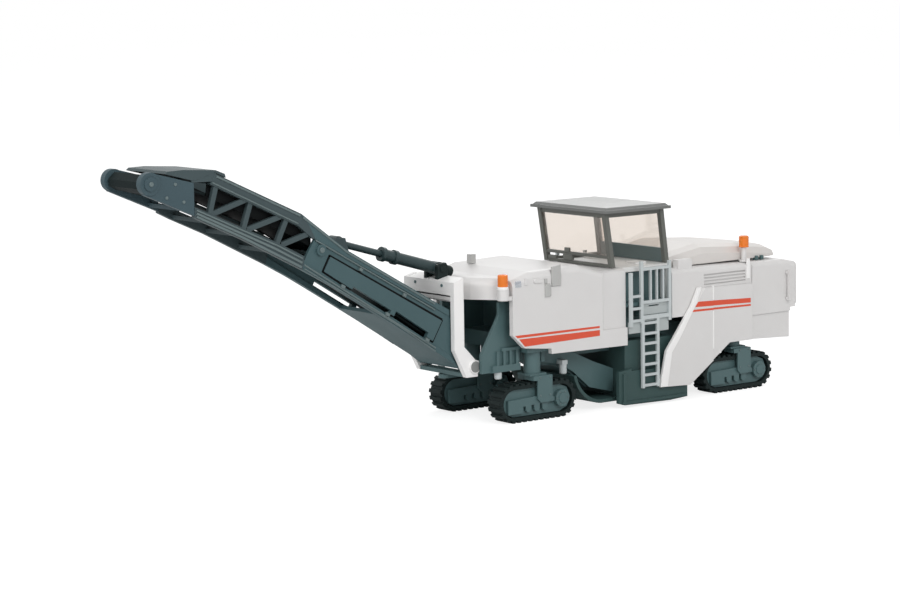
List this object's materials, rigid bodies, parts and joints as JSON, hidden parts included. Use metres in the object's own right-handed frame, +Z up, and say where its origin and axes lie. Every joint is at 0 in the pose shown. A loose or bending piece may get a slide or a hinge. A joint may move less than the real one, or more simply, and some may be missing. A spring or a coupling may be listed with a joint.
{
  "type": "scale model of a cold milling machine",
  "caption": "Plastic scale model of a cold milling machine on four steerable tracks, with an open cab, a milling drum below and a front conveyor that swings and lifts.",
  "frame": {"origin": "middle of the model's box on the ground plane", "axes": "+X forward towards the conveyor's discharge end, +Y to the machine's left, +Z up"},
  "size_m": [0.1768, 0.0314, 0.0609],
  "materials": {
    "white_shell": "satin moulded polystyrene",
    "slate_moulding": "matt moulded polystyrene",
    "cylinder_grey": "matt moulded polystyrene",
    "track_black": "matt moulded polystyrene",
    "belt_black": "matt",
    "cab_glass": "clear moulded polystyrene",
    "beacon_orange": "clear tinted",
    "drum_grey": "matt moulded polystyrene",
    "cab_grey": "satin moulded polystyrene",
    "ladder_grey": "satin moulded polystyrene",
    "lamp_grey": "satin moulded polystyrene"
  },
  "bodies": {
    "machine": {"beacon_bases": "white_shell", "beacon_lenses": "beacon_orange", "cab_floor": "cab_grey", "cab_frame": "cab_grey", "cab_rear_panel": "slate_moulding", "cab_roof": "cab_grey", "chassis_frame": "slate_moulding", "control_desk": "slate_moulding", "deck": "slate_moulding", "drum_housing": "slate_moulding", "engine_block": "slate_moulding", "engine_hood": "white_shell", "feed_housing": "slate_moulding", "front_apron": "slate_moulding", "front_body": "white_shell", "front_nose": "white_shell", "grab_rails": "white_shell", "ladder_left": "ladder_grey", "ladder_right": "ladder_grey", "operator_seats": "slate_moulding", "rear_body": "white_shell", "rear_door": "white_shell", "rear_window": "cab_glass", "side_shield_left": "slate_moulding", "side_shield_right": "slate_moulding", "side_skirt_left": "white_shell", "side_skirt_right": "white_shell", "windscreen": "cab_glass", "work_lamp": "lamp_grey"},
    "unit_front_left": {"track_front_left": "track_black", "track_frame_front_left": "slate_moulding", "leg_front_left": "slate_moulding"},
    "unit_front_right": {"track_front_right": "track_black", "track_frame_front_right": "slate_moulding", "leg_front_right": "slate_moulding"},
    "unit_rear_left": {"track_rear_left": "track_black", "track_frame_rear_left": "slate_moulding", "leg_rear_left": "slate_moulding"},
    "unit_rear_right": {"track_rear_right": "track_black", "track_frame_rear_right": "slate_moulding", "leg_rear_right": "slate_moulding"},
    "drum": {"milling_drum": "drum_grey"},
    "yoke": {"conveyor_yoke": "white_shell", "yoke_sill": "slate_moulding"},
    "conveyor": {"conveyor_box": "slate_moulding", "conveyor_truss": "slate_moulding", "conveyor_head": "slate_moulding", "conveyor_belt": "belt_black", "head_cover": "slate_moulding", "cylinder_bracket": "slate_moulding"},
    "barrel": {"cylinder_barrel": "cylinder_grey"},
    "rod": {"cylinder_rod": "cylinder_grey"}
  },
  "joints": [
    {"name": "conveyor_slew", "type": "hinge", "parent": "machine", "child": "yoke", "pos_m": [0.00685, 0, 0.02], "axis": [0, 0, 1], "range_deg": [-20, 20]},
    {"name": "conveyor_lift", "type": "hinge", "parent": "yoke", "child": "conveyor", "pos_m": [0.00565, 0, 0.0132], "axis": [0, -1, 0], "range_deg": [-12, 6]},
    {"name": "barrel_tilt", "type": "hinge", "parent": "yoke", "child": "barrel", "pos_m": [0.00905, 0, 0.0346], "axis": [0, -1, 0], "range_deg": [-16.18, 8.59]},
    {"name": "rod_slide", "type": "slide", "parent": "barrel", "child": "rod", "axis": [0.9604, 0, 0.2785], "range_m": [-0.00239, 0.00448]},
    {"name": "drum_spin", "type": "hinge", "parent": "machine", "child": "drum", "pos_m": [-0.04235, 0, 0.0066], "axis": [0, 1, 0], "continuous": true},
    {"name": "steer_front_left", "type": "hinge", "parent": "machine", "child": "unit_front_left", "pos_m": [-0.00925, 0.0108, 0.00435], "axis": [0, 0, 1], "range_deg": [-12, 12]},
    {"name": "steer_front_right", "type": "hinge", "parent": "machine", "child": "unit_front_right", "pos_m": [-0.00925, -0.0108, 0.00435], "axis": [0, 0, 1], "range_deg": [-12, 12]},
    {"name": "steer_rear_left", "type": "hinge", "parent": "machine", "child": "unit_rear_left", "pos_m": [-0.07005, 0.0108, 0.00435], "axis": [0, 0, 1], "range_deg": [-12, 12]},
    {"name": "steer_rear_right", "type": "hinge", "parent": "machine", "child": "unit_rear_right", "pos_m": [-0.07005, -0.0108, 0.00435], "axis": [0, 0, 1], "range_deg": [-12, 12]}
  ],
  "couplings": [
    {"joint": "barrel_tilt", "follows": "conveyor_lift", "ratio": 1.265},
    {"joint": "rod_slide", "follows": "conveyor_lift", "m_per_rad": -0.01995}
  ]
}
